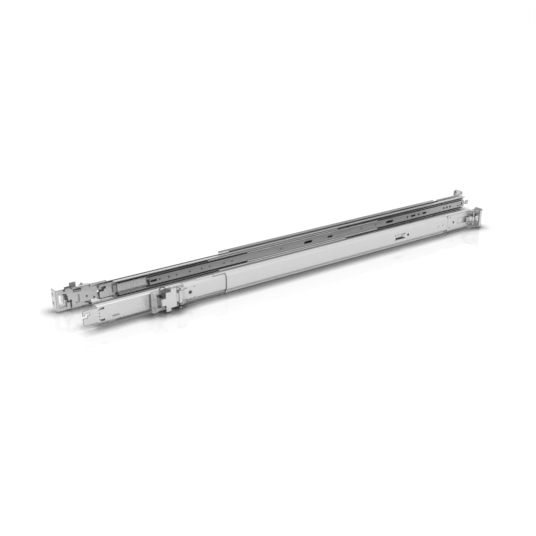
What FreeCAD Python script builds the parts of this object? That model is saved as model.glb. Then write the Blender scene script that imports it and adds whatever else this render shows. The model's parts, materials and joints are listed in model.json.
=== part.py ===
import FreeCAD, Part
import math
import os
from FreeCAD import Vector

os.makedirs("parts", exist_ok=True)

# A pair of telescopic server rails standing on edge, inner sides facing each other.
# X runs along the rails towards the front of the rack, Z is up, lengths are in mm.
# One rail is built as the left-hand one: Y = 0 is its outer face and Y grows towards the server.
# X = 0 is the rear end of its support channel. The right-hand rail is its mirror image.

pair_width = 100.0              # between the outer faces of the two rails
pair_stagger = 66.0             # the right rail stands this far forward of the left one
left_reach = 146.0              # rear flange behind the support channel, left rail
right_reach = 339.0             # the same for the right rail, pulled out further
push_room = 4.0                 # travel left when the left rear bracket is pushed right in
pull_room = 21.0                # travel left when the right rear bracket is pulled right out
sheet = 1.5                     # main sheet thickness
play = 0.4                      # gap between sheets that slide past each other
bend = 1.2                      # inside bend radius of the main sheets
pin_fit = 0.05                  # radial gap of a pin in a hole that turns on it
rack_hole_pitch = 31.75         # outer holes of one rack unit
rack_half_pitch = 15.875        # neighbouring holes of one rack unit

# Support channel: a hat section whose web stands proud on the outer side.
channel_length = 554.0
channel_height = 41.5
channel_depth = 5.0
channel_web = 23.8
middle = channel_height / 2
end_chamfer = 12.0
lip_overhang = 24.0             # the upper lip starts this far behind the web
lip_short = 14.0                # and ends this far before it
front_face = channel_length + 84.0
bridge_x = channel_length - 152.0
bridge_length = 28.0
bridge_height = 7.7
bridge_slit = 1.3
sight_hole_x = channel_length - 116.0
sight_hole_radius = 2.4

# Telescopic slide: three C sections one inside the next, with a ball row above and below.
slide_y = channel_depth + sheet
outer_height = 30.0
outer_depth = 10.2
outer_length = 872.0
outer_front = front_face - 6.0
outer_rear = outer_front - outer_length
ball_radius = 1.5875            # one eighth of an inch ball
ball_depth = 6.12               # ball rows, from the back of the outer member
race_gap = 0.12
race_depth = 0.5
middle_sheet = 1.3
middle_short = 12.0             # the middle member is this much shorter than the outer one
middle_length = outer_length - middle_short
middle_front = outer_front - 4.0
middle_rear = middle_front - middle_length
inner_sheet = 1.3
inner_short = 57.0              # and the inner member than the middle one
inner_length = middle_length - inner_short
inner_front = outer_front - 2.0
inner_rear = inner_front - inner_length
race_radius = ball_radius + race_gap
race_offset = race_radius - race_depth
ball_y = slide_y + ball_depth
middle_y = slide_y + sheet + play
slide_face = slide_y + outer_depth
outer_ball_z = outer_height / 2 - sheet - race_offset
middle_half = outer_ball_z - race_offset
inner_ball_z = middle_half - middle_sheet - race_offset
inner_half = inner_ball_z - race_offset

# Sheet of the sliding rear arm, which fills the support channel behind the slide.
arm_y = sheet + play
arm_half = channel_web / 2 - play

# Flat tail of the outer member behind the raceways, clear of the arm's sloping sides.
tail_length = 24.0
tail_half = arm_half + slide_y - arm_y - math.sqrt(2) * (sheet + play)
tail_rise = 1.0
tail_corner = 3.0
tail_notch = 4.0
tail_slot_x = outer_rear + 9.0
tail_slot_z = 10.0
tail_slot_length = 7.0
tail_slot_width = 2.7
tail_groove_x = outer_rear + 32.0
tail_groove_z = -7.4
tail_groove_length = 12.0
tail_groove_width = 2.2
groove_depth = 0.5

# Ball retainers: a strip above and a strip below, each with its own balls.
retainer_sheet = 0.8
retainer_lip = 1.7
outer_strip_top = outer_rear + 187.0
outer_strip_bottom = outer_rear + 210.0
outer_strip_length = 308.0
inner_strip_x = inner_rear + 207.0
inner_strip_length = 330.0
balls_per_strip = 2
strip_end = 12.0
pocket_gap = 0.06

# Rear bracket: a hat-section arm nested in the support channel, and its rack flange.
stud_x = (28.0, 92.0)           # guide collars that run in the arm's slot
spacer_radius = 3.0
arm_end = 18.0
arm_length = stud_x[1] + right_reach + pull_room + arm_end
arm_lip = 2.0
bracket_plate_length = 61.0
bracket_plate_low = 1.0
bracket_plate_high = 38.6
arm_top_lip_start = 36.0
arm_top_lip_end = 89.0
flange_width = 18.0
flange_low = 2.0
flange_high = 38.0
flange_chamfer_y = 12.0
flange_chamfer_z = 7.0
flange_hole_radius = 2.75
flange_hole_y = -9.0
window_start = 5.0
window_length = 13.6
window_low = 7.0
window_height = 23.0
tab_slit = 1.8                  # width of the slits that free the tabs of the rear plate
upper_slit = (31.0, 45.0, 29.5)
hook_slit = (34.0, 40.7, 9.4, 23.4)
post_slit = (24.5, 3.6, 17.6)
arm_hole_s = 74.0
arm_hole_radius = 2.0

# Rear latch on the outer side of the rear bracket.
base_start = 20.0
base_sheet = 1.5
ear_low = 9.0
ear_high = 34.0
latch_pin_s = 50.0
latch_pin_y = -6.0
latch_pin_radius = 2.0
latch_pin_low = 0.6
latch_pin_high = 39.4
ear_width = 11.0
barrel_wall = 1.6
barrel_gap = 0.35
latch_plate_y = -10.6
latch_sheet = 1.5
latch_near = 41.0
latch_step = 30.0
latch_far = 20.5
latch_low = 2.0
latch_height = 34.6
latch_lift = 5.6                # the half beside the pin is folded this much higher
latch_neck_low = 14.0
latch_neck_high = 30.0
finger_low = 14.0
finger_high = 27.0
finger_tip = 12.5
finger_nose = 13.5
coil_radius = 3.3
coil_wire = 1.0
coil_height = 5.0
coil_sides = 12

# Front bracket and its rack flange.
front_tongue = 49.0
front_tongue_half = 9.6
front_plate_low = 4.2
front_plate_high = 38.2
front_flange_high = 44.0
front_flange_knee_y = -10.0
front_flange_toe_y = -13.5
front_flange_toe_z = 4.0
front_lip = 5.5
front_hole_x = channel_length + 19.0
front_hole_radius = 2.2
front_window_x = front_face - 31.0
front_window_length = 22.0
front_window_height = 11.4
rack_stud_y = -8.0
rack_stud_radius = 4.0
rack_stud_length = 11.0
rivet_x = (channel_length - 27.0, channel_length - 14.5)
rivet_head_radius = 3.0
rivet_head = 0.6

# Front latch: a hook through the front flange, on an upright pin.
front_pin_x = front_face - 11.5
front_pin_y = -6.2
front_pin_radius = 1.5
front_ear = 2.6
front_pin_end = 1.5
hook_height = 10.0
hook_sheet = 1.4
hook_reach = 9.5
hook_nose = 4.2
thumb_x = front_face - 29.0
thumb_y = -1.6
hook_slot_margin = 0.8
hook_swing_room = 4.4

# Release lever inside the inner member, its stop and its pivot.
lever_x = inner_front - 28.0
lever_rear = inner_front - 40.0
lever_front = inner_front + 16.0
lever_half = 2.4
lever_tab_half = 4.6
lever_tab = 9.0
lever_sheet = 1.1
lever_pivot_radius = 1.6
lever_hole_x = inner_front - 35.0
lever_hole_radius = 1.3
bumper_length = 6.0
bumper_half = 7.0
bumper_depth = 4.6

# Openings on the middle line of the inner member, measured back from its front end.
server_slots = (231.0, 451.0)
server_slot_length = 20.0
server_slot_half = 2.2
small_hole_radius = 1.2
small_holes = (271.0, 311.0, 518.0, 631.0, 649.0, 680.0, 697.0, 722.0, 749.0, 765.0, 783.0)
lock_slots = (127.0, 161.0, 395.0, 795.0)
lock_slot_length = 12.0
lock_slot_half = 1.7
round_holes = (45.0, 55.0, 65.0, 144.0, 178.0)
round_hole_radius = 2.0
lever_window = 22.0
lever_window_length = 16.0
lever_window_half = 2.6


def corner(before, at, after, radius):
    """Start, middle and end of the arc that rounds one corner."""
    back = (before - at).normalize()
    ahead = (after - at).normalize()
    half = back.getAngle(ahead) / 2
    inward = (back + ahead).normalize()
    run = radius / math.tan(half)
    centre = at + inward * (radius / math.sin(half))
    return at + back * run, centre - inward * radius, at + ahead * run


def outline(points, radius, closed=True):
    """Wire through the points with every corner rounded by its radius."""
    count = len(points)
    radii = radius if isinstance(radius, (list, tuple)) else [radius] * count
    joints = []
    for i in range(count):
        rounded = radii[i] > 0 and (closed or 0 < i < count - 1)
        if rounded:
            joints.append(corner(points[i - 1], points[i], points[(i + 1) % count], radii[i]))
        else:
            joints.append((points[i],))
    edges = []
    for i, joint in enumerate(joints):
        if len(joint) == 3:
            edges.append(Part.Arc(*joint).toShape())
        if closed or i < count - 1:
            start = joint[-1]
            end = joints[(i + 1) % count][0]
            if start.distanceToPoint(end) > 1e-6:
                edges.append(Part.makeLine(start, end))
    return Part.Wire(edges)


def along_x(points, x0, x1, radius=0.0):
    """Prism of a (y, z) outline between two X planes."""
    wire = outline([Vector(x0, y, z) for y, z in points], radius)
    return Part.Face(wire).extrude(Vector(x1 - x0, 0, 0))


def along_y(points, y0, y1, radius=0.0):
    """Prism of an (x, z) outline between two Y planes."""
    wire = outline([Vector(x, y0, z) for x, z in points], radius)
    return Part.Face(wire).extrude(Vector(0, y1 - y0, 0))


def along_z(points, z0, z1, radius=0.0):
    """Prism of an (x, y) outline between two Z planes."""
    wire = outline([Vector(x, y, z0) for x, y in points], radius)
    return Part.Face(wire).extrude(Vector(0, 0, z1 - z0))


def box(x0, x1, y0, y1, z0, z1):
    return Part.makeBox(x1 - x0, y1 - y0, z1 - z0, Vector(x0, y0, z0))


def rod(radius, start, end):
    axis = end - start
    return Part.makeCylinder(radius, axis.Length, start, axis)


def rod_x(radius, x0, x1, y, z):
    return rod(radius, Vector(x0, y, z), Vector(x1, y, z))


def rod_y(radius, y0, y1, x, z):
    return rod(radius, Vector(x, y0, z), Vector(x, y1, z))


def rod_z(radius, z0, z1, x, y):
    return rod(radius, Vector(x, y, z0), Vector(x, y, z1))


def facets(sides, radius, a, b):
    """Corners of a regular polygon whose flats lie the given radius from (a, b)."""
    reach = radius / math.cos(math.pi / sides)
    turns = [(i + 0.5) * 2 * math.pi / sides for i in range(sides)]
    return [(a + reach * math.cos(t), b + reach * math.sin(t)) for t in turns]


def punched_y(radius, y0, y1, x, z):
    """Small eight-sided hole or disc: few faces for what repeats."""
    return along_y(facets(8, radius, x, z), y0, y1)


def punched_z(radius, z0, z1, x, y):
    return along_z(facets(8, radius, x, y), z0, z1)


def ball(x, y, z):
    """Ball with flats: a cube trimmed by its own copies turned about each axis."""
    size = 2 * ball_radius
    cube = Part.makeBox(size, size, size, Vector(-ball_radius, -ball_radius, -ball_radius))
    solid = cube
    for axis in (Vector(1, 0, 0), Vector(0, 1, 0), Vector(0, 0, 1)):
        turned = cube.copy()
        turned.rotate(Vector(0, 0, 0), axis, 45)
        solid = solid.common(turned)
    solid.translate(Vector(x, y, z))
    return solid


def slot_y(length, half, x, z, y0, y1):
    """Round-ended slot along X, cut through from y0 to y1."""
    reach = length / 2 - half
    body = box(x - reach, x + reach, y0, y1, z - half, z + half)
    return body.fuse([rod_y(half, y0, y1, x - reach, z), rod_y(half, y0, y1, x + reach, z)])


def rectangle(a0, a1, b0, b1):
    return [(a0, b0), (a1, b0), (a1, b1), (a0, b1)]


def folded(path, thickness, x0, x1):
    """Sheet folded along an open (y, z) path, its thickness laid on the server side."""
    wire = outline([Vector(x0, y, z) for y, z in path], bend + thickness, closed=False)
    other = wire.makeOffset2D(thickness, 0, False, True)
    if other.BoundBox.YMin < wire.BoundBox.YMin + thickness / 2:
        other = wire.makeOffset2D(-thickness, 0, False, True)
    ends = []
    for i in (0, -1):
        a = wire.OrderedVertexes[i].Point
        b = min((v.Point for v in other.Vertexes), key=a.distanceToPoint)
        ends.append(Part.makeLine(a, b))
    loop = Part.Wire(Part.__sortEdges__(wire.Edges + other.Edges + ends))
    return Part.Face(loop).extrude(Vector(x1 - x0, 0, 0))


def hat(web_y, depth, web_half, lip_end):
    """Open hat path from the lower lip over the web to the upper lip."""
    lower = [
        (web_y + depth, middle - lip_end),
        (web_y + depth, middle - web_half - depth),
        (web_y, middle - web_half),
    ]
    upper = [(y, 2 * middle - z) for y, z in reversed(lower)]
    return lower + upper


def c_section(y0, y1, half, thickness, x0, x1, open_side, round_edge):
    """C section with its web at y0 or y1 and flanges above and below."""
    radii = [round_edge, 0, 0, round_edge] if open_side > 0 else [0, round_edge, round_edge, 0]
    solid = along_x(rectangle(y0, y1, middle - half, middle + half), x0, x1, radii)
    inside = half - thickness
    a0 = y0 + thickness if open_side > 0 else y0 - sheet
    a1 = y1 + sheet if open_side > 0 else y1 - thickness
    return solid.cut(box(x0 - sheet, x1 + sheet, a0, a1, middle - inside, middle + inside))


def races(ball_z, x0, x1):
    """The two round grooves a pair of ball rows runs in."""
    rows = [rod_x(race_radius, x0, x1, ball_y, middle + s * ball_z) for s in (-1, 1)]
    return rows[0].fuse(rows[1])


def support_channel():
    path = hat(0.0, channel_depth, channel_web / 2, channel_height / 2)
    solid = folded(path, sheet, -lip_overhang, channel_length)
    x = bridge_x + bridge_length / 2
    cuts = [rod_y(sight_hole_radius, -sheet, 2 * sheet, sight_hole_x, middle)]
    for side in (-1, 1):
        z = middle + side * (bridge_height + bridge_slit) / 2
        x0 = bridge_x
        x1 = bridge_x + bridge_length
        z0 = z - bridge_slit / 2
        cuts.append(box(x0, x1, -sheet, 2 * sheet, z0, z0 + bridge_slit))
    half = bridge_length / 2
    cuts.append(box(x - half + sheet, x + half - sheet, -sheet, 2 * sheet,
                    middle - bridge_height / 2, middle + bridge_height / 2))
    toe = channel_length - end_chamfer
    low = middle - channel_web / 2 - channel_depth
    high = 2 * middle - low
    cuts.append(box(-lip_overhang - sheet, 0.0, -sheet, slide_y + sheet, -sheet, high))
    cuts.append(box(channel_length - lip_short, channel_length + sheet, -sheet, slide_y + sheet,
                    high, channel_height + sheet))
    cuts.append(along_y([(toe, -sheet), (channel_length + sheet, -sheet),
                         (channel_length + sheet, low), (channel_length, low)],
                        -sheet, slide_y + sheet))
    solid = solid.cut(cuts)
    ramp = channel_depth
    bridge = [
        (x - half, 0.0), (x - half + sheet, 0.0), (x - half + sheet + ramp, ramp),
        (x + half - sheet - ramp, ramp), (x + half - sheet, 0.0), (x + half, 0.0),
        (x + half, sheet), (x + half - sheet, sheet), (x + half - sheet - ramp, ramp + sheet),
        (x - half + sheet + ramp, ramp + sheet), (x - half + sheet, sheet), (x - half, sheet),
    ]
    z0 = middle - bridge_height / 2
    return solid.fuse(along_z(bridge, z0, z0 + bridge_height)).removeSplitter()


def slide_outer():
    half = outer_height / 2
    solid = c_section(slide_y, slide_face, half, sheet, outer_rear, outer_front, 1, bend + sheet)
    solid = solid.cut(races(outer_ball_z, outer_rear - sheet, outer_front + sheet))
    x0 = outer_rear - tail_length
    low = middle - tail_half + tail_rise
    high = middle + tail_half
    hook = tail_notch
    tail = [
        (x0, low), (outer_rear + sheet, low), (outer_rear + sheet, high), (x0, high),
        (x0, middle + hook), (x0 + hook, middle + hook), (x0 + hook, middle + 2 * hook),
        (x0 + 3 * hook, middle + 2 * hook), (x0 + 3 * hook, middle + hook),
        (x0 + 2 * hook, middle + hook), (x0 + 2 * hook, middle), (x0, middle),
    ]
    radii = [tail_corner, 0, 0, tail_corner] + [0] * 8
    solid = solid.fuse(along_y(tail, slide_y, slide_y + sheet, radii))
    cuts = []
    for side in (-1, 1):
        z = middle + side * tail_slot_z
        cuts.append(box(tail_slot_x - tail_slot_length / 2, tail_slot_x + tail_slot_length / 2,
                        slide_y - sheet, slide_y + 2 * sheet,
                        z - tail_slot_width / 2, z + tail_slot_width / 2))
    cuts.append(slot_y(tail_groove_length, tail_groove_width / 2, tail_groove_x,
                       middle + tail_groove_z, slide_y - sheet, slide_y + groove_depth))
    return solid.cut(cuts).removeSplitter()


def slide_middle():
    solid = c_section(middle_y, slide_face, middle_half, middle_sheet,
                      middle_rear, middle_front, 1, bend)
    cuts = [races(outer_ball_z, middle_rear - sheet, middle_front + sheet),
            races(inner_ball_z, middle_rear - sheet, middle_front + sheet)]
    for back in server_slots:
        x = inner_front - back
        cuts.append(box(x - server_slot_length / 2, x + server_slot_length / 2,
                        middle_y - sheet, middle_y + 2 * sheet,
                        middle - server_slot_half, middle + server_slot_half))
    return solid.cut(cuts).removeSplitter()


def slide_inner():
    y0 = middle_y + middle_sheet + play
    solid = c_section(y0, slide_face, inner_half, inner_sheet, inner_rear, inner_front, -1, bend)
    through = (slide_face - inner_sheet - sheet, slide_face + sheet)
    cuts = [races(inner_ball_z, inner_rear - sheet, inner_front + sheet)]
    for back in server_slots:
        cuts.append(slot_y(server_slot_length, server_slot_half, inner_front - back, middle,
                           *through))
    for back in lock_slots:
        x = inner_front - back
        cuts.append(box(x - lock_slot_length / 2, x + lock_slot_length / 2, *through,
                        middle - lock_slot_half, middle + lock_slot_half))
    for back in small_holes:
        cuts.append(punched_y(small_hole_radius, *through, inner_front - back, middle))
    for back in round_holes:
        cuts.append(punched_y(round_hole_radius, *through, inner_front - back, middle))
    x = inner_front - lever_window
    cuts.append(box(x, x + lever_window_length, *through,
                    middle - lever_window_half, middle + lever_window_half))
    return solid.cut(cuts).removeSplitter()


def ball_places(x0, length):
    pitch = (length - 2 * strip_end) / (balls_per_strip - 1)
    return [x0 + strip_end + i * pitch for i in range(balls_per_strip)]


def retainer(ball_z, rows, length):
    """Upper and lower strips with a lip on the server side and a pocket for each ball."""
    strips = []
    for side, x0 in rows:
        z = middle + side * ball_z
        edge = slide_face - retainer_sheet
        strip = box(x0, x0 + length, middle_y + middle_sheet + play, edge,
                    z - retainer_sheet / 2, z + retainer_sheet / 2)
        strip = strip.fuse(box(x0, x0 + length, edge, slide_face,
                               z - retainer_lip / 2, z + retainer_lip / 2))
        hole = ball_radius + pocket_gap
        pockets = [box(x - hole, x + hole, ball_y - hole, ball_y + hole,
                       z - retainer_lip, z + retainer_lip) for x in ball_places(x0, length)]
        strips.append(strip.cut(pockets))
    return Part.makeCompound(strips)


def balls(ball_z, rows, length):
    solids = []
    for side, x0 in rows:
        for x in ball_places(x0, length):
            solids.append(ball(x, ball_y, middle + side * ball_z))
    return Part.makeCompound(solids)


def web_spacers():
    """Rivet collars between the slide and the sheet outside it; the rear two guide the arm."""
    solids = [punched_y(spacer_radius, sheet, slide_y, x, middle) for x in stud_x]
    solids += [punched_y(spacer_radius, 2 * sheet, slide_y, x, middle) for x in rivet_x]
    return Part.makeCompound(solids)


def tab_slits(reach):
    """Narrow cuts in the plate behind the latch: a straight one, a hooked one and an upright one."""
    y0 = arm_y - sheet
    y1 = arm_y + 2 * sheet
    x0, x1, z = upper_slit
    straight = box(x0 - reach, x1 - reach, y0, y1, z, z + tab_slit)
    x0, x1, z0, z1 = hook_slit
    hook = [(x0 - reach, z0), (x1 - reach, z0), (x1 - reach, z1), (x1 - tab_slit - reach, z1),
            (x1 - tab_slit - reach, z0 + tab_slit), (x0 - reach, z0 + tab_slit)]
    x, z0, z1 = post_slit
    upright = box(x - reach, x + tab_slit - reach, y0, y1, z0, z1)
    return [straight, along_y(hook, y0, y1), upright]


def rear_bracket(reach):
    depth = channel_depth
    lip_end = arm_half + depth + arm_lip
    plate_end = bracket_plate_length - reach
    front = arm_length - reach
    solid = folded(hat(arm_y, depth, arm_half, lip_end), sheet, plate_end - sheet, front)
    top = middle + arm_half + depth - sheet / 2
    solid = solid.cut(box(arm_top_lip_end - reach, front + sheet, -sheet, 3 * depth,
                          top, channel_height))
    flange_y = arm_y + sheet - flange_width - sheet
    plate = along_y(rectangle(-reach, plate_end, bracket_plate_low, bracket_plate_high),
                    arm_y, arm_y + sheet)
    flange = along_x([(arm_y + sheet, bracket_plate_low), (flange_y + flange_chamfer_y, flange_low),
                      (flange_y, flange_low + flange_chamfer_z), (flange_y, flange_high),
                      (arm_y + sheet, bracket_plate_high)],
                     -reach, sheet - reach, [0, 0, 0, 2 * sheet, 0])
    lip_x = arm_top_lip_start - reach
    lip = box(lip_x, plate_end, arm_y, arm_y + depth, bracket_plate_high - sheet,
              bracket_plate_high)
    solid = solid.fuse([plate, flange, lip])
    cuts = [along_y(rectangle(window_start - reach, window_start + window_length - reach,
                              window_low, window_low + window_height),
                    arm_y - sheet, arm_y + 2 * sheet)]
    cuts += tab_slits(reach)
    cuts.append(rod_y(arm_hole_radius, 0.0, arm_y + 2 * sheet, arm_hole_s - reach, middle))
    for side in (-1, 1):
        cuts.append(rod_x(flange_hole_radius, -reach - sheet, 2 * sheet - reach,
                          flange_hole_y, middle + side * rack_half_pitch / 2))
    slot_rear = stud_x[0] + left_reach - push_room
    slot_front = stud_x[1] + right_reach + pull_room
    half = spacer_radius + play
    cuts.append(box(slot_rear - half - reach, slot_front + half - reach,
                    arm_y - sheet, arm_y + 2 * sheet, middle - half, middle + half))
    return solid.cut(cuts).removeSplitter()


def base_rivet_places(reach):
    x = (base_start + latch_pin_s) / 2 - reach
    spread = (ear_high - ear_low) / 4
    return [(x, middle - spread), (x, middle + spread)]


def latch_base(reach):
    """Plate riveted on the bracket, with two ears that carry the upright latch pin."""
    face = arm_y
    x0 = base_start - reach
    x1 = bracket_plate_length - reach
    ear_x = latch_pin_s - ear_width / 2 - reach
    ear_y = latch_pin_y - ear_width / 2
    solid = along_y([(x0, ear_low + base_sheet), (ear_x, ear_low + base_sheet), (ear_x, ear_low),
                     (x1, ear_low), (x1, ear_high + base_sheet), (ear_x, ear_high + base_sheet),
                     (ear_x, ear_high), (x0, ear_high)], face - base_sheet, face)
    ear = [(ear_x, face), (ear_x, latch_pin_y), (latch_pin_s - reach - ear_width / 4, ear_y),
           (latch_pin_s - reach + ear_width / 4, ear_y), (x1, latch_pin_y), (x1, face)]
    for z in (ear_low, ear_high):
        solid = solid.fuse(along_z(ear, z, z + base_sheet))
    bore = punched_z(latch_pin_radius, 0.0, channel_height, latch_pin_s - reach, latch_pin_y)
    return solid.cut(bore).removeSplitter()


def latch_rivets(reach):
    face = arm_y - base_sheet
    return Part.makeCompound([punched_y(rivet_head_radius, face - rivet_head, face, x, z)
                              for x, z in base_rivet_places(reach)])


def latch_pin(reach):
    return rod_z(latch_pin_radius, latch_pin_low, latch_pin_high, latch_pin_s - reach, latch_pin_y)


def rear_latch(reach):
    """Lever with a stepped plate, a barrel on the pin and a hook into the bracket's window."""
    pin_x = latch_pin_s - reach
    barrel = latch_pin_radius + pin_fit + barrel_wall
    z0 = ear_low + base_sheet + barrel_gap
    z1 = ear_high - barrel_gap
    solid = rod_z(barrel, z0, z1, pin_x, latch_pin_y)
    y0 = latch_plate_y
    y1 = latch_plate_y + latch_sheet
    near = latch_near - reach
    step = latch_step - reach
    far = latch_far - reach
    top = latch_low + latch_height
    plate = along_y([(far, latch_low), (step, latch_low), (step, latch_low + latch_lift),
                     (near, latch_low + latch_lift), (near, top + latch_lift),
                     (step, top + latch_lift), (step, top), (far, top)], y0, y1)
    neck = along_z([(near - latch_sheet, y0 + latch_sheet / 2), (near, y0 + latch_sheet / 2),
                    (near, latch_pin_y - latch_sheet / 2), (pin_x, latch_pin_y - latch_sheet / 2),
                    (pin_x, latch_pin_y + latch_sheet / 2),
                    (near - latch_sheet, latch_pin_y + latch_sheet / 2)],
                   latch_neck_low, latch_neck_high)
    tip = finger_tip - reach
    finger = along_z([(far, y0), (far, y1), (tip + latch_sheet, y1),
                      (tip + latch_sheet, y1 + finger_nose), (tip, y1 + finger_nose),
                      (tip, y0 + latch_sheet), (tip + latch_sheet, y0)], finger_low, finger_high)
    bore = rod_z(latch_pin_radius + pin_fit, 0.0, channel_height, pin_x, latch_pin_y)
    return solid.fuse([plate, neck, finger]).cut(bore).removeSplitter()


def latch_spring(reach):
    """Closed torsion coil round the lower end of the latch pin, one leg on the bracket."""
    x = latch_pin_s - reach
    top = ear_low - play
    bottom = top - coil_height
    coil = along_z(facets(coil_sides, coil_radius, x, latch_pin_y), bottom, top)
    leg = box(x + coil_radius - coil_wire, x + coil_radius, latch_pin_y, arm_y,
              bottom, bottom + coil_wire)
    bore = along_z(facets(coil_sides, coil_radius - coil_wire, x, latch_pin_y), bottom, top)
    return coil.fuse(leg).cut(bore).removeSplitter()


def front_bracket():
    """Flat plate with a tongue inside the channel, a pressed window and the rack flange."""
    face = sheet
    inner_y = face + sheet
    x0 = channel_length - front_tongue
    shoulder = channel_length + play
    low = middle - front_tongue_half
    high = middle + front_tongue_half
    flange_y = -flange_width
    plate = along_y([(x0, low), (shoulder, low), (shoulder, front_plate_low),
                     (front_face, front_plate_low), (front_face, front_plate_high),
                     (shoulder, front_plate_high), (shoulder, high), (x0, high)], face, inner_y)
    flange = along_x([(inner_y, front_plate_low), (front_flange_knee_y, 0.0),
                      (front_flange_toe_y, 0.0), (flange_y, front_flange_toe_z),
                      (flange_y, front_flange_high), (-sheet, front_flange_high),
                      (inner_y, front_plate_high)],
                     front_face - sheet, front_face, [0, 0, 0, 0, 2 * sheet, 0, 0])
    lip = box(front_face - front_lip, front_face - sheet, flange_y, flange_y + sheet,
              front_flange_toe_z + sheet, front_flange_high - 2 * sheet)
    solid = plate.fuse([flange, lip])
    ear = [(front_pin_x - 2 * front_ear, face + sheet / 2), (front_pin_x - front_ear, front_pin_y),
           (front_pin_x - front_ear / 2, front_pin_y - front_ear),
           (front_pin_x + front_ear / 2, front_pin_y - front_ear),
           (front_pin_x + front_ear, front_pin_y), (front_pin_x + front_ear, face + sheet / 2)]
    for z in (front_plate_low, front_plate_high - sheet):
        solid = solid.fuse(along_z(ear, z, z + sheet))
    cuts = [rod_y(front_hole_radius, 0.0, inner_y + sheet, front_hole_x, middle)]
    half = front_window_height / 2
    cuts.append(box(front_window_x, front_window_x + front_window_length, 0.0, inner_y + sheet,
                    middle - half, middle + half))
    cuts.append(punched_z(front_pin_radius, 0.0, channel_height, front_pin_x, front_pin_y))
    slot_y0 = front_pin_y - hook_sheet / 2 - hook_swing_room
    slot_y1 = front_pin_y + hook_sheet / 2 + hook_slot_margin
    half = hook_height / 2 + hook_slot_margin
    cuts.append(box(front_face - 2 * sheet, front_face + sheet, slot_y0, slot_y1,
                    middle - half, middle + half))
    return solid.cut(cuts).removeSplitter()


def rack_studs():
    """Round studs, one for each outer hole of the rack unit."""
    return Part.makeCompound([rod_x(rack_stud_radius, front_face, front_face + rack_stud_length,
                                    rack_stud_y, middle + side * rack_hole_pitch / 2)
                              for side in (-1, 1)])


def front_latch():
    """Barrel on the pin with a thumb tab behind it and a hook through the flange ahead."""
    half = hook_sheet / 2
    z0 = middle - hook_height / 2
    z1 = middle + hook_height / 2
    barrel = front_pin_radius + pin_fit + barrel_wall
    solid = punched_z(barrel, z0, z1, front_pin_x, front_pin_y)
    nose_x = front_face + hook_reach
    low = front_pin_y - half
    high = front_pin_y + half
    hook = along_z([(front_pin_x, low), (nose_x - hook_nose / 2, low), (nose_x, high),
                    (nose_x - hook_nose / 2, high + hook_nose), (nose_x - hook_nose, high + hook_nose),
                    (nose_x - hook_nose, high), (front_pin_x, high)], z0, z1)
    bend_x = front_pin_x - 2 * barrel
    thumb = along_z([(thumb_x, thumb_y - half), (bend_x, thumb_y - half), (front_pin_x, low),
                     (front_pin_x, high), (bend_x + half, thumb_y + half),
                     (thumb_x, thumb_y + half)], z0, z1)
    bore = rod_z(front_pin_radius + pin_fit, z0 - sheet, z1 + sheet, front_pin_x, front_pin_y)
    return solid.fuse([hook, thumb]).cut(bore).removeSplitter()


def front_latch_pin():
    return rod_z(front_pin_radius, front_plate_low - front_pin_end,
                 front_plate_high + front_pin_end, front_pin_x, front_pin_y)


def release_lever():
    """Flat lever that turns on a rivet in the inner member; its tab shows at the front end."""
    y1 = slide_face - inner_sheet - pin_fit
    y0 = y1 - lever_sheet
    tab_x = lever_front - lever_tab
    lever = along_y([(lever_rear, middle - lever_half), (tab_x, middle - lever_half),
                     (tab_x, middle - lever_tab_half), (lever_front, middle - lever_tab_half),
                     (lever_front, middle + lever_tab_half), (tab_x, middle + lever_tab_half),
                     (tab_x, middle + lever_half), (lever_rear, middle + lever_half)], y0, y1)
    cuts = [rod_y(lever_pivot_radius + pin_fit, y0 - sheet, y1 + sheet, lever_x, middle),
            punched_y(lever_hole_radius, y0 - sheet, y1 + sheet, lever_hole_x, middle)]
    return lever.cut(cuts).removeSplitter()


def lever_pivot():
    """Rivet in the inner member; its plain shank carries the release lever."""
    face = slide_face - inner_sheet
    return rod_y(lever_pivot_radius, face - 2 * lever_sheet, face, lever_x, middle)


def bumper():
    """Rubber stop in the outer member, behind the middle member."""
    x0 = outer_rear + play
    y0 = slide_y + sheet
    return along_y(rectangle(x0, x0 + bumper_length, middle - bumper_half, middle + bumper_half),
                   y0, y0 + bumper_depth)


def rail(reach):
    outer_rows = ((1, outer_strip_top), (-1, outer_strip_bottom))
    inner_rows = ((1, inner_strip_x), (-1, inner_strip_x))
    return {
        "support_channel": support_channel(),
        "slide_outer_member": slide_outer(),
        "slide_middle_member": slide_middle(),
        "slide_inner_member": slide_inner(),
        "outer_ball_retainer": retainer(outer_ball_z, outer_rows, outer_strip_length),
        "outer_balls": balls(outer_ball_z, outer_rows, outer_strip_length),
        "inner_ball_retainer": retainer(inner_ball_z, inner_rows, inner_strip_length),
        "inner_balls": balls(inner_ball_z, inner_rows, inner_strip_length),
        "web_spacers": web_spacers(),
        "rear_bracket": rear_bracket(reach),
        "rear_latch_base": latch_base(reach),
        "rear_latch_rivets": latch_rivets(reach),
        "rear_latch_pin": latch_pin(reach),
        "rear_latch": rear_latch(reach),
        "rear_latch_spring": latch_spring(reach),
        "front_bracket": front_bracket(),
        "front_rack_studs": rack_studs(),
        "front_latch": front_latch(),
        "front_latch_pin": front_latch_pin(),
        "release_lever": release_lever(),
        "release_lever_pivot": lever_pivot(),
        "rear_bumper": bumper(),
    }


stud_tip = front_face + rack_stud_length
rearmost = pair_stagger - right_reach
foremost = pair_stagger + stud_tip
to_origin = Vector(-(rearmost + foremost) / 2, -pair_width / 2, 0)

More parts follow.
